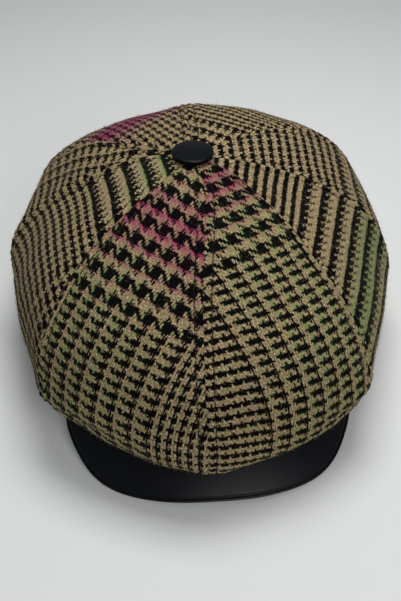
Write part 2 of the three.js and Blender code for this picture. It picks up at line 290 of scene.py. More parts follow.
relief = {
    "grooveDepth": 0.25, "grooveWidth": 0.5,  # where two panels meet
    "weltRise": 0.5, "weltAt": 2.1, "weltWidth": 1.3,  # seam allowance under the topstitching
    "stitchAt": 4.2, "stitchDip": 0.8, "stitchWidth": 0.55,
    "puffRise": 0.4, "puffAt": 7.5, "puffWidth": 2.8,
    # pull of the thread: ripples that sway a little, on the welt and, lower, on the puff
    "rippleRise": 0.28, "rippleLength": 9.5, "sway": 1.7, "swayLength": 23.0,
    "weltRippleWidth": 2.0, "puffRipple": 0.7, "puffRippleWidth": 3.0,
    "levelLength": 160.0,  # about how many mm of a panel one level takes
    "fadeFrom": 13.0, "fadeTo": 24.0,  # radius round the button over which the relief comes in
    "hemFrom": 1.85, "hemTo": 1.99,  # levels over which it goes out at the hem
}
waves = (  # slow unevenness of the cloth: length of each wave, rise, direction and start
    {"length": 74, "rise": 0.45, "direction": (0.8, 0.5, 0.3), "start": 0.4},
    {"length": 58, "rise": 0.4, "direction": (-0.5, 0.8, 0.4), "start": 2.1},
    {"length": 47, "rise": 0.35, "direction": (0.3, -0.4, 0.9), "start": 4.0},
    {"length": 33, "rise": 0.22, "direction": (0.9, -0.5, 0.1), "start": 1.3},
    {"length": 21, "rise": 0.14, "direction": (0.4, 0.9, -0.4), "start": 5.2},
)


def seamRelief(distance, along, start):
    # groove at the seam, welt up to the topstitching, a dip there, a low puff beyond, and small ripples
    fromWelt, fromPuff = distance - relief["weltAt"], distance - relief["puffAt"]
    sway = relief["sway"] * np.sin(along / relief["swayLength"] + start)
    ripple = np.cos(2 * np.pi * along / relief["rippleLength"] + start + sway)
    ripple = ripple * (bell(fromWelt, relief["weltRippleWidth"])
                       + relief["puffRipple"] * bell(fromPuff, relief["puffRippleWidth"]))
    return (relief["weltRise"] * bell(fromWelt, relief["weltWidth"])
            - relief["grooveDepth"] * bell(distance, relief["grooveWidth"])
            - relief["stitchDip"] * bell(distance - relief["stitchAt"], relief["stitchWidth"])
            + relief["puffRise"] * bell(fromPuff, relief["puffWidth"])
            + relief["rippleRise"] * ripple)


def clothWaves(point):
    # sum of rise * sin(2 pi (direction . point) / length + start)
    total = np.zeros(point.shape[:-1])
    for wave in waves:
        direction = np.array(wave["direction"]) / np.linalg.norm(wave["direction"])
        swing = 2 * np.pi * (point @ direction) / wave["length"]
        total = total + wave["rise"] * np.sin(swing + wave["start"])
    return total


def panelSurface(gore, fromLeft, level, raised=True):
    # the crown at fromLeft(width) mm from a panel's left seam, plus normal * (folds + relief + waves)
    left, right = seamAzimuth(gore, level), seamAzimuth(gore + 1, level)
    width = panelWidth(gore, level)
    share = fromLeft(width) / width
    azimuth = left + (right - left) * share
    normal = crownNormal(azimuth, level)
    point = crownPoint(azimuth, level, seamColumn["flat"][gore] * 4 * share * (1 - share))
    height = foldHeight(azimuth, level)
    if raised:
        along = level * relief["levelLength"]
        rise = seamRelief(share * width, along, gore) + seamRelief((1 - share) * width, along, gore + 1)
        radius = np.linalg.norm(point[..., :2] - crownTop, axis=-1)
        byHem = 1 - smoothStep(level, relief["hemFrom"], relief["hemTo"])
        byButton = smoothStep(radius, relief["fadeFrom"], relief["fadeTo"])
        height = height + np.where(level > 1, byHem, byButton) * (rise + clothWaves(point))
    return point + normal * height[..., None], normal


# how each panel was cut from the cloth, and how the cloth lies on it
# u and v are mm across and down the panel from the crown's top; a thread is about 1.4 mm

clothCut = {
    # pitch: mm per warp thread across and per weft thread down
    # growth: share by which the rows spread, the v where they spread most, and the width of that stretch
    # rows: their slope, how the slope changes with u and with v, both per 100 mm
    # bend and lean: sideways swell of the columns per 100 mm, then their drift in mm between two values of v
    # first: the warp and weft thread that lie at u = v = 0, counted from the start of a wide zone
    # phase: where the twill starts, in threads; keys of plainCut stand only where a panel differs from it
    # weftTint and warpTint: tint, the thread at its middle, its width in threads and its strength
    "panel_front_left": {
        "pitch": (1.32, 1.46), "growth": (0.5, 178, 38), "rows": (0.33, -0.1, -0.12), "bend": -0.06,
        "lean": (-32, 15, 180), "first": (33.9, 3.8), "phase": 2, "darkWeft": 4.6, "narrowWeft": 110,
        "weftTint": ("magenta", 40, 28, 1.0), "warpTint": ("green", 28, 40, 0.7),
    },
    "panel_front_right": {
        "pitch": (1.3, 1.44), "growth": (0.5, 182, 38), "rows": (-0.28, -0.2, 0.18), "bend": 0.08,
        "lean": (30, 5, 180), "first": (37.3, 23), "phase": 3, "darkWeft": 4.5, "narrowWeft": 110,
        "weftTint": ("magenta", 41, 22, 0.95), "warpTint": ("green", 40, 30, 0.7),
    },
    "panel_side_front_left": {
        "pitch": (1.4, 1.39), "growth": (0.6, 138, 32), "rows": (0.17, 0.2, -0.14), "bend": 0,
        "lean": (-28, 30, 150), "first": (-32, 30.5), "phase": 2, "over": 1, "gap": 0.12,
        "narrowWarp": 42, "narrowShift": 1, "weftTint": ("moss", 44, 16, 0.9),
    },
    "panel_side_front_right": {
        "pitch": (1.56, 1.48), "growth": (0.5, 148, 35), "rows": (-0.28, 0, 0.19), "bend": 0,
        "lean": (22, 55, 170), "first": (111.6, -43.4), "phase": 2, "over": 1, "gap": 0.12,
        "darkWeft": 3.85, "narrowWarp": 138, "weftTint": ("leaf", 36, 9, 0.9),
    },
    "panel_side_rear_right": {
        "pitch": (1.35, 1.56), "growth": (0.28, 108, 30), "rows": (0.27, 0, 0), "bend": 0,
        "lean": (10, 30, 150), "first": (108.2, -60.8), "phase": 2, "narrowWarp": 138,
    },
    "panel_side_rear_left": {
        "pitch": (1.15, 1.38), "growth": (0.5, 108, 34), "rows": (0.05, 0, -0.25), "bend": 0,
        "lean": (-12, 50, 130), "first": (66.5, 47), "phase": 1,
    },
    "panel_rear_right": {
        "pitch": (1.4, 1.5), "growth": (0.3, 80, 30), "rows": (0.27, 0, 0), "bend": 0,
        "lean": (0, 0, 100), "first": (110, -90), "phase": 2, "narrowWarp": 138,
        "weftTint": ("purple", -15, 7, 1.1),
    },
    "panel_rear_left": {
        "pitch": (1.4, 1.5), "growth": (0.3, 80, 30), "rows": (-0.3, 0, 0), "bend": 0,
        "lean": (0, 0, 100), "first": (110, -64), "phase": 1, "narrowWarp": 138,
        "weftTint": ("purple", -19, 8, 1.2),
    },
    "headband": {"phase": 0},
}
plainCut = {
    "over": 2,  # weft threads that a warp float passes over, out of four
    "gap": 0.36,  # how far a warp float draws in, so that the weft shows beside it
    "darkWeft": 4,  # dark weft threads out of eight in a wide zone
    "narrowWarp": 62, "narrowWeft": 62,  # threads woven two and two, across and down, between two wide zones
    "narrowShift": 0,  # threads that the twill moves by in a narrow zone
}
wideZone = 76  # threads woven four and four
lengthDown = {"from": -20, "to": 320, "steps": 1400}  # range of v, in mm


def threadCoordinates(cut, spots):
    # warp = (u + bend u^2 - lean smoothStep(v)) / pitch + first
    # weft = (sum of dv / (1 + growth bell(v)) - slope u - bow u^2 - twist u v) / pitch + first
    u, v = spots[:, 0], spots[:, 1]
    growth, most, width = cut["growth"]
    fine = np.linspace(lengthDown["from"], lengthDown["to"], lengthDown["steps"])
    spread = 1 + growth * bell(fine - most, width)
    steps = np.diff(fine) * 2 / (spread[1:] + spread[:-1])
    down = np.interp(v, fine, fine[0] + np.concatenate([[0], np.cumsum(steps)]))
    slope, bow, twist = cut["rows"]
    drift, fromV, toV = cut["lean"]
    across = u + cut["bend"] * u * u / 100 - drift * smoothStep(v, fromV, toV)
    down = down - slope * u - (bow * u * u + twist * u * v) / 100
    warp, weft = across / cut["pitch"][0] + cut["first"][0], down / cut["pitch"][1] + cut["first"][1]
    return np.stack([warp, weft], -1)


# meshes

def inScene(name, data):
    # a new object, linked to the scene
    added = bpy.data.objects.new(name, data)
    bpy.context.scene.collection.objects.link(added)
    return added


def addObject(name, points, *faceSets):
    # one mesh from points in mm and sets of faces, each set an array of corners with faces of one size
    mesh = bpy.data.meshes.new(name)
    points = np.reshape(points, (-1, 3))
    corners = np.concatenate([np.reshape(faces, -1) for faces in faceSets])
    sizes = np.concatenate([np.full(len(faces), len(faces[0])) for faces in faceSets])
    mesh.vertices.add(len(points))
    mesh.vertices.foreach_set("co", (points * millimetre).astype(np.float32).reshape(-1))
    mesh.loops.add(len(corners))
    mesh.loops.foreach_set("vertex_index", corners.astype(np.int32))
    mesh.polygons.add(len(sizes))
    starts = np.concatenate([[0], np.cumsum(sizes)[:-1]])
    mesh.polygons.foreach_set("loop_start", starts.astype(np.int32))
    mesh.polygons.foreach_set("use_smooth", np.ones(len(sizes), bool))
    mesh.update(calc_edges=True)
    mesh.validate()
    piece = inScene(name, mesh)
    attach(piece, "root")
    return piece


def gridQuads(rows, columns, first=0, flip=False, closed=False):
    # quads between neighbouring rows and columns of a grid of points stored row by row
    r, c = np.meshgrid(np.arange(rows - 1), np.arange(columns if closed else columns - 1), indexing="ij")
    a = r * columns + c
    b = r * columns + (c + 1) % columns
    quads = np.stack([a, a + columns, b + columns, b], -1).reshape(-1, 4) + first
    return quads[:, ::-1] if flip else quads


def rimQuads(rows, columns):
    # walls that join the rims of two grids of the same size, one behind the other
    top = np.arange(columns)
    foot = (rows - 1) * columns + top
    left = np.arange(rows) * columns
    right = left + columns - 1
    loop = np.concatenate([top[:-1], right[:-1], foot[:0:-1], left[:0:-1]])
    following = np.roll(loop, -1)
    behind = rows * columns
    return np.stack([loop + behind, following + behind, following, loop], -1)


def repeated(faces, count, size):
    # the faces of one small form, for each of its copies, which have size points each
    faces = np.asarray(faces)
    return (faces[None] + (np.arange(count) * size)[:, None, None]).reshape(-1, faces.shape[1])


def setThreads(piece, uv):
    # uv holds one pair of thread numbers per point; the map stores it per face corner
    layer = piece.data.uv_layers.new(name="threads")
    corner = np.zeros(len(piece.data.loops), np.int32)
    piece.data.loops.foreach_get("vertex_index", corner)
    layer.data.foreach_set("uv", uv[corner].astype(np.float32).reshape(-1))


panelGrid = {
    "nearSeam": (0.04, 0.3, 0.6, 0.9, 1.3, 1.8, 2.3, 2.8, 3.2, 3.6, 3.85, 4.1, 4.4, 4.8, 5.4, 6.2, 7.2),
    "middleColumns": 44, "topRows": 150, "lowRows": 70,
    "narrow": 29.0,  # width in mm under which the columns near the seams close up
    "holeLevel": 0.05,  # where the seams are read for the hole
    "fineSteps": 1500,  # points along a panel's middle line, for lengths
    "middleTop": (0.0005, 1, 500), "middleLow": (1.002, 2, 220),  # levels and points of the line for u and v
}


def panelSpots(width):
    # distances from the left seam: close together near both seams, even between them
    near = np.array(panelGrid["nearSeam"])
    scale = np.minimum(1, width / panelGrid["narrow"])
    first, last, rest = slice(0, len(near)), slice(-len(near), None), slice(len(near), -len(near))
    inner = np.linspace(0, 1, panelGrid["middleColumns"] + 1)[1:-1]
    start = near[-1] * scale[..., rest]
    middle = start + (width[..., rest] - 2 * start) * inner
    mirrored = width[..., last] - near[::-1] * scale[..., last]
    return np.concatenate([near * scale[..., first], middle, mirrored], -1)


def evenSteps(gore, low, high, count):
    # levels between low and high at even lengths along the middle of a panel
    fine = np.linspace(low, high, panelGrid["fineSteps"])
    length = lengthAlong(crownPoint(panelMiddle(gore), fine, seamColumn["flat"][gore]))
    return np.interp(np.linspace(0, length[-1], count), length, fine)


def clothCoordinates(gore, points):
    # v: length along the panel's middle line up to the nearest place on it; u: distance across from it
    levels = np.concatenate([np.linspace(*panelGrid["middleTop"]), np.linspace(*panelGrid["middleLow"])])
    azimuth = panelMiddle(gore)
    middle = crownPoint(azimuth, levels, seamColumn["flat"][gore])
    turn = math.radians(azimuth)
    out, across = np.array([math.sin(turn), -math.cos(turn)]), np.array([math.cos(turn), math.sin(turn)])
    line = np.stack([(middle[:, :2] - crownTop) @ out, middle[:, 2]], -1)
    length = lengthAlong(line)
    flat = points.reshape(-1, 3)
    run, side, high = (flat[:, :2] - crownTop) @ out, (flat[:, :2] - crownTop) @ across, flat[:, 2]
    apart = (run[:, None] - line[None, :, 0])**2 + (high[:, None] - line[None, :, 1])**2
    nearest = np.clip(apart.argmin(1), 1, len(length) - 2)
    tangent = unit(line[nearest + 1] - line[nearest - 1])
    past = (run - line[nearest, 0]) * tangent[:, 0] + (high - line[nearest, 1]) * tangent[:, 1]
    droop = np.sqrt(np.maximum(apart[np.arange(len(run)), nearest] - past**2, 0))
    u = np.sign(side) * np.sqrt(side**2 + droop**2)
    return np.stack([u, length[nearest] + past], -1)


def makePanel(gore):
    # outer grid, the same grid set back by the cloth's thickness, and walls round the rim
    hole = [seamAzimuth(gore + k, panelGrid["holeLevel"]) for k in (0, 1)]
    top = evenSteps(gore, 0.0, 1.0, panelGrid["topRows"] + 1)
    low = evenSteps(gore, 1.0, 2.0, panelGrid["lowRows"] + 1)[1:]
    columns = 2 * len(panelGrid["nearSeam"]) + panelGrid["middleColumns"] - 1
    start = levelAtRadius(hole[0] + (hole[1] - hole[0]) * np.linspace(0, 1, columns), crown["hole"])
    level = start[None, :] + (1 - start[None, :]) * top[:, None]
    level = np.concatenate([level, np.repeat(low[:, None], columns, 1)])
    outer, _ = panelSurface(gore, panelSpots, level)
    smooth, normal = panelSurface(gore, panelSpots, level, raised=False)
    rows = len(level)
    name = panelNames[gore]
    piece = addObject(
        name + "_wool", [outer, smooth - normal * crown["cloth"]],
        gridQuads(rows, columns), gridQuads(rows, columns, rows * columns, flip=True),
        rimQuads(rows, columns),
    )
    threads = threadCoordinates(clothCut[name], clothCoordinates(gore, smooth))
    setThreads(piece, np.concatenate([threads, threads]))
    return piece


panels = []
for gore in range(seamCount):
    panel = makePanel(gore)
    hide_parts(panelNames[gore])
    panels.append(panel)
    print("panel made:", panel.name, len(panel.data.polygons), "faces")


# topstitching: a row of thread on each side of every seam

stitch = {
    "at": relief["stitchAt"], "length": 3.1, "pitch": 3.4, "radius": 0.38, "sides": 6, "rings": 7,
    "sunk": 0.15, "bow": 0.3,  # how deep the ends lie, and how far the middle bows out from there
    "thinnest": 0.06,  # square of the share of the radius that is left at the ends
    "levels": (0.1, 1.86, 1200), "start": 0.5,
    "narrowest": 2.6,  # a panel narrower than this many times "at" has no row
}


def stitchRow(gore, rightSide):
    # tubes along a line beside one seam, with centre = line + out * (bow (1 - (2t - 1)^4) - sunk)
    # and radius * sqrt(1 - (2t - 1)^6), t from 0 to 1 along a stitch
    levels = evenSteps(gore, *stitch["levels"])
    levels = levels[panelWidth(gore, levels) > stitch["narrowest"] * stitch["at"]]

    def fromLeft(width):
        return width - stitch["at"] if rightSide else np.full_like(width, stitch["at"])

    line, normal = panelSurface(gore, fromLeft, levels)
    length = lengthAlong(line)
    starts = np.arange(stitch["start"], length[-1] - stitch["pitch"], stitch["pitch"])
    t = np.linspace(0, 1, stitch["rings"])
    at = starts[:, None] + stitch["length"] * t[None, :]
    centre = np.stack([np.interp(at, length, line[:, k]) for k in range(3)], -1)
    out = unit(np.stack([np.interp(at, length, normal[:, k]) for k in range(3)], -1))
    centre = centre + out * (stitch["bow"] * (1 - (2 * t - 1)**4) - stitch["sunk"])[None, :, None]
    across = unit(np.cross(unit(np.gradient(centre, axis=1)), out))
    radius = stitch["radius"] * np.sqrt(np.clip(1 - (2 * t - 1)**6, stitch["thinnest"], 1))
    angle = np.linspace(0, 2 * np.pi, stitch["sides"], endpoint=False)[None, None, :, None]
    ring = across[:, :, None] * np.cos(angle) + out[:, :, None] * np.sin(angle)
    return centre[:, :, None] + ring * radius[None, :, None, None]


def makeStitches(seam):
    # the rows on both sides of one seam, each tube with a cap at both ends
    tubes = np.concatenate([stitchRow((seam - 1) % seamCount, True), stitchRow(seam, False)])
    count, rings, sides, _ = tubes.shape
    cap = np.arange(sides)
    walls = repeated(gridQuads(rings, sides, closed=True), count, rings * sides)
    caps = repeated([cap, (rings - 1) * sides + cap[::-1]], count, rings * sides)
    return addObject("topstitching_" + list(crown["seams"])[seam], tubes, walls, caps)


stitching = [makeStitches(seam) for seam in range(seamCount)]
print("topstitching made:", sum(len(piece.data.polygons) for piece in stitching), "faces")


# hairs of the brushed wool that stand up from the panels

hairs = {
    "perPanel": 2400, "seed": 11, "length": (1.0, 2.6), "radius": 0.07, "root": 0.3, "lowest": 5.0,
    "upright": 0.75, "hanging": 0.35, "curl": 0.35, "scatter": 0.5,
    "leastRise": 0.3,  # of a hair's direction, along the normal
    "levels": (0.14, 1.75, 1500), "across": (0.02, 0.98),  # where they stand, down and across a panel
    "rings": ((0.0, 1.0), (0.5, 0.7)),  # place along a hair and share of its radius there
}


def makeHairs(gore):
    # each hair is a three-sided needle: root ring, middle ring and tip, along root + t * aim + t^2 * curl
    chance = np.random.default_rng(hairs["seed"] + gore)
    levels = evenSteps(gore, *hairs["levels"])
    width = panelWidth(gore, levels)
    levels = chance.choice(levels, hairs["perPanel"], p=width / width.sum())
    share = chance.uniform(*hairs["across"], len(levels))
    spot, normal = panelSurface(gore, lambda w: w * share, levels)
    kept = spot[:, 2] > hairs["lowest"]
    spot, normal = spot[kept], normal[kept]
    count = len(spot)
    length = chance.uniform(*hairs["length"], count)[:, None]
    scatter = chance.normal(0, hairs["scatter"], (count, 3))
    aim = unit(normal * hairs["upright"] + scatter - (0, 0, hairs["hanging"]))
    aim = unit(aim + normal * np.maximum(0, hairs["leastRise"] - (aim * normal).sum(-1, keepdims=True)))
    bend = unit(np.cross(aim, chance.normal(0, 1, (count, 3)))) * hairs["curl"]
    across = unit(np.cross(aim, bend))
    over = np.cross(aim, across)
    root = spot - normal * hairs["root"]
    points = []
    for t, thickness in hairs["rings"]:
        centre = root + length * (aim * t + bend * t * t)
        for turn in np.radians((0, 120, 240)):
            side = across * math.cos(turn) + over * math.sin(turn)
            points.append(centre + side * hairs["radius"] * thickness)
    points.append(root + length * (aim + bend))
    ends = repeated([(0, 2, 1), (3, 4, 6), (4, 5, 6), (5, 3, 6)], count, len(points))
    walls = repeated([(0, 1, 4, 3), (1, 2, 5, 4), (2, 0, 3, 5)], count, len(points))
    return addObject("hairs_" + panelNames[gore].removeprefix("panel_"), np.stack(points, 1), ends, walls)


hairPieces = [makeHairs(gore) for gore in range(seamCount)]
print("hairs made:", sum(len(piece.data.polygons) for piece in hairPieces), "faces")


# headband: doubled cloth, a rounded upright section carried round the oval

headband = {
    "around": 300, "cornerSteps": 5, "faceStep": 2.2, "thread": 1.44,
    # low waves of the inner face: their height in mm, their number, how they drift, and where they start
    "unevenness": 0.25, "waves": 23, "sway": 2, "sways": 3, "unevenFrom": 0.2, "unevenTo": 0.8,
    "insideDepth": 1.5, "insideShift": 40,  # the inside starts elsewhere in the cloth, in mm
}


def sectionPoints(wall, height, rounding, steps):
    # rounded rectangle from out = 0 (outer face) to out = -wall, anticlockwise
    corners = ((-rounding, rounding, -90), (-rounding, height - rounding, 0),
               (-wall + rounding, height - rounding, 90), (-wall + rounding, rounding, 180))
    points = []
    for out, up, angle in corners:
        points += quarterArc(out, up, rounding, angle, steps)
    sides = []
    for point, following in zip(np.array(points), np.roll(points, -1, axis=0)):
        parts = max(1, int(math.dist(point, following) / headband["faceStep"]))
        sides += [point + (following - point) * s / parts for s in range(parts)]
    return np.array(sides)


def makeHeadband():
    # point = oval(angle) + outward * out, at height foot(y) + up
    angle = np.linspace(0, 2 * np.pi, headband["around"], endpoint=False)
    sine, cosine = np.sin(angle), np.cos(angle)
    outward = unit(np.stack([sine / band["halfWidth"], -cosine / band["halfLength"]], -1))
    x, y = band["halfWidth"] * sine, band["shift"] - band["halfLength"] * cosine
    section = sectionPoints(band["wall"], band["height"], band["round"], headband["cornerSteps"])
    out, up = section[:, 0], section[:, 1]
    sway = headband["sway"] * np.sin(angle * headband["sways"])
    hollow = headband["unevenness"] * np.sin(angle * headband["waves"] + sway)[:, None]
    hollow = hollow * smoothStep(-out, headband["unevenFrom"], headband["unevenTo"])[None, :]
    out = out[None, :] - hollow * np.sin(np.pi * np.clip(up / band["height"], 0, 1))[None, :]
    points = np.stack([
        x[:, None] + outward[:, :1] * out + crown["axis"][0],
        y[:, None] + outward[:, 1:] * out + crown["axis"][1],
        bandFoot(y)[:, None] + np.broadcast_to(up, out.shape),
    ], -1)
    rows, columns = points.shape[:2]
    quads = gridQuads(rows + 1, columns, closed=True) % (rows * columns)
    piece = addObject("headband_wool", points, quads[:, ::-1])
    run = lengthAlong(np.stack([x, y], -1))
    climb = up + np.where(out[:1] < -headband["insideDepth"], headband["insideShift"], 0)
    uv = np.stack(np.broadcast_arrays(run[:, None], climb), -1)
    setThreads(piece, uv.reshape(-1, 2) / headband["thread"])
    return piece


headbandPiece = makeHeadband()
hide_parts("headband")
print("headband made")


# peak: a curved sheet of stiff leather between the headband and its outer edge

peak = {
    # right half of the outer edge of the top face, from the middle to the corner: share along it, x, y, z
    "edge": (
        (0, 0, -135.5, 4.4),
        (0.15, 20, -134.6, 3.9),
        (0.3, 38, -131, 2.8),
        (0.42, 52, -125.8, 1.9),
        (0.53, 63.5, -118.5, 1.7),
        (0.64, 72.8, -108, 2.9),
        (0.74, 79.5, -96, 5.3),
        (0.82, 83.5, -86, 7.9),
        (0.9, 85.8, -73, 11.2),
        (0.96, 83.5, -57, 14.8),
        (1, 77, -43, 17.6),
    ),
    "innerAngle": 63, "thick": 2.6, "arch": 2.0, "aboveFoot": 2.9, "gap": 0.35,
    "reachAcross": 0.996, "edgeRound": 0.42, "across": 200, "out": 60, "edgeSteps": 9,
    "crowding": 1.35,  # power that brings the rows closer together towards the edge
    "stepAlong": 0.002, "stepOut": 0.01,  # for the normal
    "grooveAt": 1.9, "grooveDepth": 0.5, "grooveWidth": 0.6,  # pressed line that sets off the turned edge
}


def edgeCurve():
    # the right half and its mirror, as knots and values of three cubics
    rows = np.array(peak["edge"], float)
    table = np.concatenate([rows[:0:-1] * (-1, -1, 1, 1), rows])
    knots = table[:, 0]
    return knots, [(table[:, k], knotSlopes(knots, table[:, k], 0)) for k in (1, 2, 3)]


edgeKnots, edgeValues = edgeCurve()


def peakEdgePoint(along):
    # the three cubics at a share along the edge, from -1 to 1
    i = np.clip(np.searchsorted(edgeKnots, along, side="right") - 1, 0, len(edgeKnots) - 2)
    width = edgeKnots[i + 1] - edgeKnots[i]
    t = (along - edgeKnots[i]) / width
    return np.stack([hermite(t, width, v[i], s[i], v[i + 1], s[i + 1]) for v, s in edgeValues], -1)


def peakTop(along, out):
    # from the headband's oval (out 0) straight to the edge (out 1), plus arch * 4 out (1 - out)
    along, out = np.broadcast_arrays(along, out)
    angle = np.radians(peak["innerAngle"] * along)
    x = (band["halfWidth"] + peak["gap"]) * np.sin(angle)
    y = band["shift"] - (band["halfLength"] + peak["gap"]) * np.cos(angle)
    innerPoint = np.stack([x, y, bandFoot(y) + peak["aboveFoot"]], -1)
    point = innerPoint + (peakEdgePoint(along) - innerPoint) * out[..., None]
    point[..., 2] += peak["arch"] * 4 * out * (1 - out)
    return point


def makePeak():
    # top face, half-round outer edge and lower face in one closed sheet, set down onto the ground;
    # the top face sinks by depth * bell(distance from the edge - at, width)
    along = np.linspace(-1, 1, peak["across"] + 1) * peak["reachAcross"]
    out = 1 - (1 - np.linspace(0, 1, peak["out"]))**peak["crowding"]
    along, out = np.meshgrid(along, out)
    top = peakTop(along, out)
    sideways = peakTop(along + peak["stepAlong"], out) - peakTop(along - peak["stepAlong"], out)
    further, nearer = np.minimum(out + peak["stepOut"], 1), np.maximum(out - peak["stepOut"], 0)
    outward = peakTop(along, further) - peakTop(along, nearer)
    normal = unit(np.cross(outward, sideways))
    normal = np.where(normal[..., 2:] < 0, -normal, normal)
    normal[0] = (0, 0, 1)
    thick = peak["thick"]
    turn = np.linspace(0, np.pi, peak["edgeSteps"] + 2)[1:-1, None, None]
    rim = (top[-1][None] - normal[-1][None] * (thick / 2 - thick / 2 * np.cos(turn))
           + unit(outward[-1])[None] * (peak["edgeRound"] * np.sin(turn)))
    bottom = (top - normal * thick)[::-1]
    fromEdge = np.linalg.norm(top - top[-1], axis=-1)
    groove = peak["grooveDepth"] * bell(fromEdge - peak["grooveAt"], peak["grooveWidth"])
    sheet = np.concatenate([top - normal * groove[..., None], rim, bottom])
    rows, columns = sheet.shape[:2]
    first = np.arange(columns - 1)
    last = (rows - 1) * columns + first
    back = np.stack([first, first + 1, last + 1, last], -1)
    half = np.arange(rows // 2)
    sides = []
    for column, flip in ((0, False), (columns - 1, True)):
        a = half * columns + column
        b = (rows - 1 - half) * columns + column
        quad = np.stack([a[:-1], b[:-1], b[1:], a[1:]], -1)
        sides.append(quad[:, ::-1] if flip else quad)
    points = sheet + (crown["axis"][0], crown["axis"][1], 0)
    points[..., 2] -= points[..., 2].min()
    return addObject("peak_leather", points, gridQuads(rows, columns), back, *sides)


peakPiece = makePeak()
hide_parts("peak")
print("peak made")


# button: leather drawn over a domed disc

button = {
    "radius": 11.7, "shoulder": 2.8, "dome": 0.9, "round": 0.9, "shankRadius": 6.4, "shank": 3, "lift": 0.95,
    "tilt": -3, "shift": -1.2, "around": 96, "pleats": 14, "pleatDepth": 0.18,
    # rings of the profile: bevel of the shank, round under the rim, and those on the underside and the dome
    "shankCut": 0.4, "footRound": 0.6, "footSteps": 5, "roundSteps": 9, "belowRound": 0.3,
    "underShares": (0.65, 0.8, 0.92), "domeShares": (0.96, 0.02, 22), "centre": 0.02,
    "pleatAt": 0.5, "pleatSpread": 0.8, "pleatFrom": 7, "pleatTo": 10,  # height, then radius of the pleats
}


def buttonProfile():
    # (radius, height): shank, underside, side wall, rounded shoulder and low dome
    radius, shoulder, bend, foot = button["radius"], button["shoulder"], button["round"], button["footRound"]
    shank, low, cut = button["shankRadius"], -button["shank"], button["shankCut"]
    points = [(button["centre"], low), (shank - cut, low), (shank, low + cut), (shank, 0)]
    points += [(share * (radius - foot), 0) for share in button["underShares"]]
    points += quarterArc(radius - foot, foot, foot, -90, button["footSteps"])
    points += [(radius, shoulder - bend - button["belowRound"])]
    points += quarterArc(radius - bend, shoulder - bend, bend, 0, button["roundSteps"])
    shares = np.linspace(*button["domeShares"])
    points += [((radius - bend) * t, shoulder + button["dome"] * (1 - t * t)) for t in shares]
    return np.array(points)


def makeButton():
    # profile turned round the button's axis; pleats = depth * cos(count * angle) on the underside
    profile = buttonProfile()
    angle = np.linspace(0, 2 * np.pi, button["around"], endpoint=False)
    low = bell(profile[:, 1] - button["pleatAt"], button["pleatSpread"])
    low = low * smoothStep(profile[:, 0], button["pleatFrom"], button["pleatTo"])
    pleats = (np.cos(angle * button["pleats"]) - 1)[None, :]
    radius = profile[:, :1] + button["pleatDepth"] * low[:, None] * pleats
    height = np.repeat(profile[:, 1:], len(angle), 1)
    x, y = radius * np.cos(angle), radius * np.sin(angle)
    cosine, sine = math.cos(math.radians(button["tilt"])), math.sin(math.radians(button["tilt"]))
    points = np.stack([x, y * cosine - height * sine, y * sine + height * cosine], -1)
    points = points + (*crownTop, crown["apex"][2]) + (button["shift"], 0, button["lift"])
    rows, columns = points.shape[:2]
    cap = np.arange(columns)
    quads = gridQuads(rows, columns, closed=True)[:, ::-1]
    return addObject("button_leather", points, quads, [cap[::-1], (rows - 1) * columns + cap])


buttonPiece = makeButton()
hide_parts("crown_button")
print("button made")


# materials: small helpers for node trees

class Nodes:
    # adds nodes to a tree and links or sets what is given for their inputs
    def __init__(self, tree):
        self.tree = tree

    def give(self, socket, value):
        if isinstance(value, bpy.types.NodeSocket):
            self.tree.links.new(value, socket)
        else:
            socket.default_value = value

    def add(self, kind, inputs=None, **settings):
        node = self.tree.nodes.new(kind)
        for key, value in settings.items():
            setattr(node, key, value)
        for key, value in (inputs or {}).items():
            self.give(node.inputs[key], value)
        return node

    def math(self, operation, *values):
        return self.add("ShaderNodeMath", dict(enumerate(values)), operation=operation).outputs[0]

    def times(self, a, b):
        return self.math("MULTIPLY", a, b)

    def plus(self, a, b):
        return self.math("ADD", a, b)

    def minus(self, a, b):
        return self.math("SUBTRACT", a, b)

    def rest(self, a):
        # 1 - a
        return self.math("SUBTRACT", 1.0, a)

    def cycle(self, a, length):
        # a modulo length, never negative
        return self.math("FLOORED_MODULO", a, length)

    def arch(self, a):
        # |sin(pi a)|
        return self.math("ABSOLUTE", self.math("SINE", self.times(a, math.pi)))

    def vector(self, operation, a, b):
        return self.add("ShaderNodeVectorMath", {0: a, 1: b}, operation=operation).outputs[0]

    def ramp(self, value, low, high, most=1.0):
        inputs = {"Value": value, "From Min": low, "From Max": high, "To Max": most}
        return self.add("ShaderNodeMapRange", inputs).outputs[0]

    def mix(self, share, a, b):
        node = self.add("ShaderNodeMix", {"Factor": share}, data_type="RGBA")
        for socket, value in zip([s for s in node.inputs if s.type == "RGBA"], (a, b)):
            self.give(socket, value)
        return next(s for s in node.outputs if s.type == "RGBA")

    def noise(self, vector, scale, detail, rough, output="Fac"):
        inputs = {"Vector": vector, "Scale": scale, "Detail": detail, "Roughness": rough}
        return self.add("ShaderNodeTexNoise", inputs).outputs[output]

    def bump(self, height, strength, distance):
        inputs = {"Height": height, "Strength": strength, "Distance": distance}
        return self.add("ShaderNodeBump", inputs).outputs[0]

    def surface(self, inputs):
        shader = self.add("ShaderNodeBsdfPrincipled", inputs)
        self.add("ShaderNodeOutputMaterial", {"Surface": shader.outputs[0]})


def newGroup(name, inputs, outputs):
    # a number makes a value socket that starts with it; a word is another kind of socket
    tree = bpy.data.node_groups.new(name, "ShaderNodeTree")
    for inOut, sockets in (("INPUT", inputs), ("OUTPUT", outputs)):
        for label, start in sockets.items():
            kind = start if isinstance(start, str) else "Float"
            socket = tree.interface.new_socket(name=label, in_out=inOut, socket_type="NodeSocket" + kind)
            if kind == "Float":
                socket.default_value = start
    n = Nodes(tree)
    return tree, n, n.add("NodeGroupInput").outputs


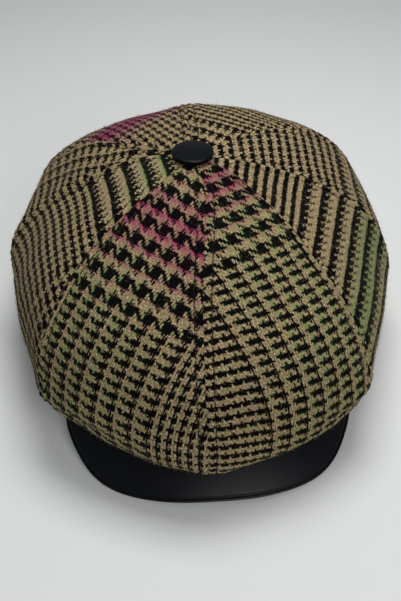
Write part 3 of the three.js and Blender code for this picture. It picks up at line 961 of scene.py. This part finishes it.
def newMaterial(name):
    # a material with an empty tree
    material = bpy.data.materials.new(name)
    material.use_nodes = True
    material.node_tree.nodes.clear()
    return material, Nodes(material.node_tree)


# wool: the weave and its overchecks are counted in threads

weave = {
    "twill": 4.0, "wideRepeat": 8.0, "wideDark": 4.0, "narrowRepeat": 4.0, "narrowLight": 2.0,
    "cloud": (0.9, 3.0, 0.65), "comb": (3.4, 0.8, 1.0), "combed": (1.0, 3.0, 0.7),
    "streaks": ((2.6, 0.7, 1.0), (0.7, 2.6, 1.0)), "streak": (1.0, 3.0, 0.6),
}


def makeWeaveGroup():
    # twill: a warp float where floor(weft) - floor(warp) + phase, modulo 4, is under what it passes over
    tree, n, given = newGroup("glenWeave", {
        "Threads": "Vector", "Fray": 1.5, "Nap": 2.6, "Phase": 0.0, "Warp Width": 0.36, "Over": 2.0,
        "Dark Weft": 4.0, "Narrow Shift": 0.0, "Wide": 76.0, "Narrow Warp": 62.0, "Narrow Weft": 62.0,
    }, {"Dark": 0.0, "Warp On Top": 0.0, "Height": 0.0, "Fibres": 0.0, "Warp": 0.0, "Weft": 0.0})

    # the threads' edges wander a little, and the brushed nap draws them out downwards in hairs
    cloud = n.noise(given["Threads"], *weave["cloud"], output="Color")
    wander = n.vector("MULTIPLY", n.vector("SUBTRACT", cloud, (0.5, 0.5, 0.5)), given["Fray"])
    combed = n.noise(n.vector("MULTIPLY", given["Threads"], weave["comb"]), *weave["combed"])
    drawn = n.add("ShaderNodeCombineXYZ", {"Y": n.times(n.minus(combed, 0.5), given["Nap"])}).outputs[0]
    moved = n.vector("ADD", n.vector("ADD", given["Threads"], wander), drawn)
    axes = n.add("ShaderNodeSeparateXYZ", {0: moved}).outputs
    warp, weft = (n.math("FLOOR", axes[k]) for k in (0, 1))

    def threadDark(thread, narrow, darkFirst):
        # wide zone: eight threads, the first few dark, usually four; narrow zone: light two, dark two
        place = n.cycle(thread, n.plus(given["Wide"], narrow))
        wide = n.math("LESS_THAN", place, given["Wide"])
        inWide = n.math("LESS_THAN", n.cycle(place, weave["wideRepeat"]), darkFirst)
        pair = n.cycle(n.minus(place, given["Wide"]), weave["narrowRepeat"])
        inNarrow = n.math("GREATER_THAN", pair, weave["narrowLight"])
        return n.plus(n.times(wide, inWide), n.times(n.rest(wide), inNarrow))

    # a warp float is narrower than its space, and the weft shows beside it
    across = [n.arch(axes[k]) for k in (0, 1)]
    weftPlace = n.cycle(n.plus(weft, 0.5), n.plus(given["Wide"], given["Narrow Weft"]))
    shift = n.times(n.math("GREATER_THAN", weftPlace, given["Wide"]), given["Narrow Shift"])
    place = n.cycle(n.plus(n.minus(weft, warp), n.plus(given["Phase"], shift)), weave["twill"])
    onWarp = n.math("LESS_THAN", place, n.minus(given["Over"], 0.5))
    up = n.times(onWarp, n.math("GREATER_THAN", across[0], given["Warp Width"]))

    def either(ofWarp, ofWeft):
        return n.plus(n.times(up, ofWarp), n.times(n.rest(up), ofWeft))

    darkWarp = threadDark(axes[0], given["Narrow Warp"], weave["wideDark"])
    darkWeft = threadDark(axes[1], given["Narrow Weft"], given["Dark Weft"])
    # a float's height: |sin(pi t)| along the threads it passes, times sqrt |sin(pi thread)| across it
    begin = n.minus(1.0, given["Over"])
    past = (n.math("FRACT", axes[1]), n.minus(begin, n.math("FRACT", axes[0])))
    lengths = (given["Over"], n.minus(weave["twill"], given["Over"]))
    arches = []
    for offset, length, side in zip(past, lengths, across):
        arches.append(n.times(n.arch(n.math("DIVIDE", n.plus(place, offset), length)), n.math("SQRT", side)))
    streaks = []
    for stretch in weave["streaks"]:
        streaks.append(n.noise(n.vector("MULTIPLY", given["Threads"], stretch), *weave["streak"]))
    n.add("NodeGroupOutput", {
        "Dark": either(darkWarp, darkWeft), "Warp On Top": up, "Height": either(*arches),
        "Fibres": either(*streaks), "Warp": axes[0], "Weft": axes[1],
    })
    return tree


overcheck = {"lightFrom": 4.0, "early": 0.8, "late": 3.2, "lineFrom": 0.4, "lineTo": 1.1}


def makeTintGroup():
    # share = strength * exp(-((thread - at) / width)^2)^(1 + fade * late) * (1 - ease * late), with late
    # going from 0 on the first to 1 on the last of the four light threads; line keeps it to the threads by
    # the edge named, 0 or 8 where the light ones begin and 4 where they end; full on the floats on top and
    # through on the others
    tree, n, given = newGroup("overcheck", {
        "Color": "Color", "Tint": "Color", "Thread": 0.0, "On Top": 0.0, "At": 0.0, "Width": 10.0,
        "Strength": 0.0, "Fade": 0.0, "Ease": 0.0, "Line": 0.0, "Edge": 4.0, "Through": 0.3,
    }, {"Color": "Color"})
    away = n.math("DIVIDE", n.minus(given["Thread"], given["At"]), given["Width"])
    share = n.math("EXPONENT", n.times(n.times(away, away), -1.0))
    place = n.cycle(n.minus(given["Thread"], overcheck["lightFrom"]), weave["wideRepeat"])
    late = n.ramp(place, overcheck["early"], overcheck["late"])
    share = n.math("POWER", share, n.plus(n.times(late, given["Fade"]), 1.0))
    half = weave["wideRepeat"] / 2
    fromEdge = n.cycle(n.minus(n.plus(place, half), given["Edge"]), weave["wideRepeat"])
    beside = n.ramp(n.math("ABSOLUTE", n.minus(fromEdge, half)), overcheck["lineFrom"], overcheck["lineTo"])
    eased, lined = n.rest(n.times(late, given["Ease"])), n.rest(n.times(beside, given["Line"]))
    onTop = n.math("MAXIMUM", given["On Top"], given["Through"])
    for factor in (given["Strength"], eased, lined, onTop):
        share = n.times(share, factor)
    n.add("NodeGroupOutput", {"Color": n.mix(share, given["Color"], given["Tint"])})
    return tree


weaveGroup = makeWeaveGroup()
tintGroup = makeTintGroup()

wool = {
    "olive": (0.34, 0.285, 0.12, 1), "rosy": (0.42, 0.28, 0.18, 1), "mossy": (0.18, 0.185, 0.09, 1),
    # the colour of the painted glints that light the hairs is the third entry on the next line
    "deep": (0.085, 0.063, 0.035, 1), "paintedGlint": (0.80, 0.63, 0.36, 1), "strandShade": 0.8,
    "dark": (0.0012, 0.0011, 0.0018, 1), "darkWarm": (0.014, 0.011, 0.009, 1),
    "hair": (0.30, 0.27, 0.17, 1),
    # scale in threads, detail and roughness of the noises, then the range and the most of what they mix in
    "slowHue": (0.4, 1.0, 0.6), "quickHue": (1.1, 1.0, 0.5), "hueRange": (0.44, 0.56),
    "moss": (0.9, 1.0, 0.5), "mossRange": (0.54, 0.66, 0.6),
    "speck": (1.7, 2.0, 0.7), "glintRange": (0.5, 0.68, 0.85), "strandRange": (0.35, 0.65),
    "rough": 0.95, "sheen": 0.06, "sheenRough": 0.3, "sheenTint": (1.0, 0.9, 0.72, 1),
    "floatHeight": 0.4, "bump": (0.5, 0.0006),
    "hollowShade": 0.4,  # how far the ends and sides of a float fall into shade
    "tints": {  # on light wool, on dark wool, then the group's values
        "magenta": ((0.29, 0.03, 0.1, 1), (0.007, 0.0012, 0.005, 1),
                    {"Fade": 3.0, "Ease": 0.4, "Through": 0.6}),
        "purple": ((0.27, 0.06, 0.115, 1), (0.03, 0.005, 0.016, 1), {"Through": 0.8}),
        "green": ((0.13, 0.26, 0.07, 1), (0.006, 0.02, 0.008, 1),
                  {"Line": 0.85, "Edge": 3.7, "Through": 0.6}),
        "moss": ((0.14, 0.25, 0.075, 1), (0.006, 0.02, 0.008, 1),
                 {"Line": 0.85, "Edge": 0.0, "Through": 0.8}),
        "leaf": ((0.13, 0.235, 0.075, 1), (0.002, 0.005, 0.003, 1), {"Line": 0.35, "Through": 0.7}),
    },
}


def makeWool(name, cut):
    # light and dark yarn with their overchecks, mixed by the weave, then darker by hollowShade * (1 - height)
    cut = {**plainCut, **cut}
    material, n = newMaterial("wool_" + name)
    threads = n.add("ShaderNodeUVMap", uv_map="threads").outputs[0]
    woven = n.add("ShaderNodeGroup", {
        "Threads": threads, "Phase": cut["phase"], "Over": cut["over"], "Warp Width": cut["gap"],
        "Dark Weft": cut["darkWeft"], "Wide": wideZone, "Narrow Warp": cut["narrowWarp"],
        "Narrow Weft": cut["narrowWeft"], "Narrow Shift": cut["narrowShift"],
    }, node_tree=weaveGroup).outputs
    # heathered yarn: slow change of hue, fine specks that are painted glints of the hairs, and hairs in shade
    hue = n.times(n.plus(n.noise(threads, *wool["slowHue"]), n.noise(threads, *wool["quickHue"])), 0.5)
    speck = n.noise(threads, *wool["speck"])
    strand = n.ramp(woven["Fibres"], *wool["strandRange"])
    light = n.mix(n.ramp(hue, *wool["hueRange"]), wool["olive"], wool["rosy"])
    light = n.mix(n.ramp(n.noise(threads, *wool["moss"]), *wool["mossRange"]), light, wool["mossy"])
    light = n.mix(n.times(n.rest(strand), wool["strandShade"]), light, wool["deep"])
    # painted highlight: glints of the hairs mixed into the light wool where the fine specks are high
    light = n.mix(n.ramp(speck, *wool["glintRange"]), light, wool["paintedGlint"])
    dark = n.mix(n.times(strand, speck), wool["dark"], wool["darkWarm"])
    warpOnTop = woven["Warp On Top"]
    checks = (("warpTint", woven["Warp"], warpOnTop), ("weftTint", woven["Weft"], n.rest(warpOnTop)))
    for key, thread, onTop in checks:
        if key not in cut:
            continue
        tint, at, width, strength = cut[key]
        *colours, spread = wool["tints"][tint]
        light, dark = (n.add("ShaderNodeGroup", {
            "Color": base, "Tint": colour, "Thread": thread, "On Top": onTop,
            "At": at, "Width": width, "Strength": strength, **spread,
        }, node_tree=tintGroup).outputs[0] for base, colour in zip((light, dark), colours))
    hollow = n.times(n.rest(woven["Height"]), wool["hollowShade"])
    height = n.plus(n.times(woven["Height"], wool["floatHeight"]), woven["Fibres"])
    n.surface({
        "Base Color": n.mix(hollow, n.mix(woven["Dark"], light, dark), wool["dark"]),
        "Roughness": wool["rough"], "Normal": n.bump(height, *wool["bump"]), "Specular IOR Level": 0.0,
        "Sheen Weight": wool["sheen"], "Sheen Roughness": wool["sheenRough"], "Sheen Tint": wool["sheenTint"],
    })
    return material


for panel, name in zip(panels, panelNames):
    panel.data.materials.append(makeWool(name.removeprefix("panel_"), clothCut[name]))
headbandPiece.data.materials.append(makeWool("headband", clothCut["headband"]))


# leather: a fine grain, and wear that changes colour and gloss slowly

leather = {
    "peak": {
        "base": (0.0007, 0.0011, 0.0022, 1), "worn": (0.0022, 0.0028, 0.005, 1),
        "rough": 0.3, "gloss": 0.18,
    },
    "button": {
        "base": (0.0006, 0.0008, 0.0014, 1), "worn": (0.0014, 0.0017, 0.0027, 1),
        "rough": 0.22, "gloss": 0.14,
    },
    "grain": 1400.0, "wear": (45, 4.0, 0.55),  # scale of both, then detail and roughness of the wear
    "roughSpread": 0.16, "bump": (0.12, 0.0002),
}


def makeLeather(name, look):
    # grain: distance from the nearest of many scattered points; roughness = wear * roughSpread + rough
    material, n = newMaterial(name)
    position = n.add("ShaderNodeTexCoord").outputs["Object"]
    cells = {"Vector": position, "Scale": leather["grain"]}
    grain = n.add("ShaderNodeTexVoronoi", cells, feature="SMOOTH_F1").outputs["Distance"]
    wear = n.noise(position, *leather["wear"])
    n.surface({
        "Base Color": n.mix(wear, look["base"], look["worn"]),
        "Roughness": n.plus(n.times(wear, leather["roughSpread"]), look["rough"]),
        "Normal": n.bump(grain, *leather["bump"]), "Specular IOR Level": look["gloss"],
    })
    return material


peakPiece.data.materials.append(makeLeather("leather_peak", leather["peak"]))
buttonPiece.data.materials.append(makeLeather("leather_button", leather["button"]))


# sewing thread and loose hairs: two colours mixed by a fine noise

thread = {
    "colours": ((0.003, 0.003, 0.003, 1), (0.012, 0.010, 0.009, 1)), "noise": (1500, 2.0, 0.5),
    "rough": 0.8, "gloss": 0.1,
}
looseWool = {
    "colours": (wool["deep"], wool["hair"]), "noise": (300, 1.0, 0.5), "range": (0.4, 0.6),
    "rough": 0.9, "gloss": 0.05,
}


def makeFine(name, look):
    # colour = first + (second - first) * noise
    material, n = newMaterial(name)
    share = n.noise(n.add("ShaderNodeTexCoord").outputs["Object"], *look["noise"])
    if "range" in look:
        share = n.ramp(share, *look["range"])
    n.surface({
        "Base Color": n.mix(share, *look["colours"]), "Roughness": look["rough"],
        "Specular IOR Level": look["gloss"],
    })
    return material


for name, look, pieces in (("sewing_thread", thread, stitching), ("wool_hairs", looseWool, hairPieces)):
    material = makeFine(name, look)
    for piece in pieces:
        piece.data.materials.append(material)
print("materials made:", len(bpy.data.materials))


# floor and light

studio = {
    "floor": (0.68, 0.69, 0.675, 1), "floorSize": 6.0, "floorRough": 0.85,
    "world": (0.78, 0.81, 0.85, 1), "worldStrength": 0.31,
    "aimAt": (0, 0, 0.05),  # metres, as all lengths here
}
lamps = {
    "overhead": {"at": (0.05, 0.13, 0.78), "size": (0.36, 0.24), "power": 4.2},
    "front": {"at": (0.35, -0.93, 0.76), "size": (0.8, 0.6), "power": 5.95},
}


def makeFloor():
    # a square of paper at height 0
    half = studio["floorSize"] / 2
    mesh = bpy.data.meshes.new("floor")
    corners = [(-half, -half, 0), (half, -half, 0), (half, half, 0), (-half, half, 0)]
    mesh.from_pydata(corners, [], [(0, 1, 2, 3)])
    floor = inScene("floor", mesh)
    material, n = newMaterial("floor_paper")
    n.surface({"Base Color": studio["floor"], "Roughness": studio["floorRough"]})
    mesh.materials.append(material)


def makeLight():
    # a pale world, and soft lamps that point at the cap
    world = bpy.data.worlds.new("studio")
    world.use_nodes = True
    background = world.node_tree.nodes["Background"]
    background.inputs["Color"].default_value = studio["world"]
    background.inputs["Strength"].default_value = studio["worldStrength"]
    bpy.context.scene.world = world
    for name, lamp in lamps.items():
        data = bpy.data.lights.new(name, "AREA")
        data.shape = "RECTANGLE"
        data.size, data.size_y = lamp["size"]
        data.energy = lamp["power"]
        light = inScene(name, data)
        light.location = lamp["at"]
        aim = Vector(studio["aimAt"]) - Vector(lamp["at"])
        light.rotation_euler = aim.to_track_quat("-Z", "Y").to_euler()
    bpy.context.scene.view_settings.view_transform = "Standard"


makeFloor()
makeLight()
print("studio lit")

bpy.context.view_layer.update()
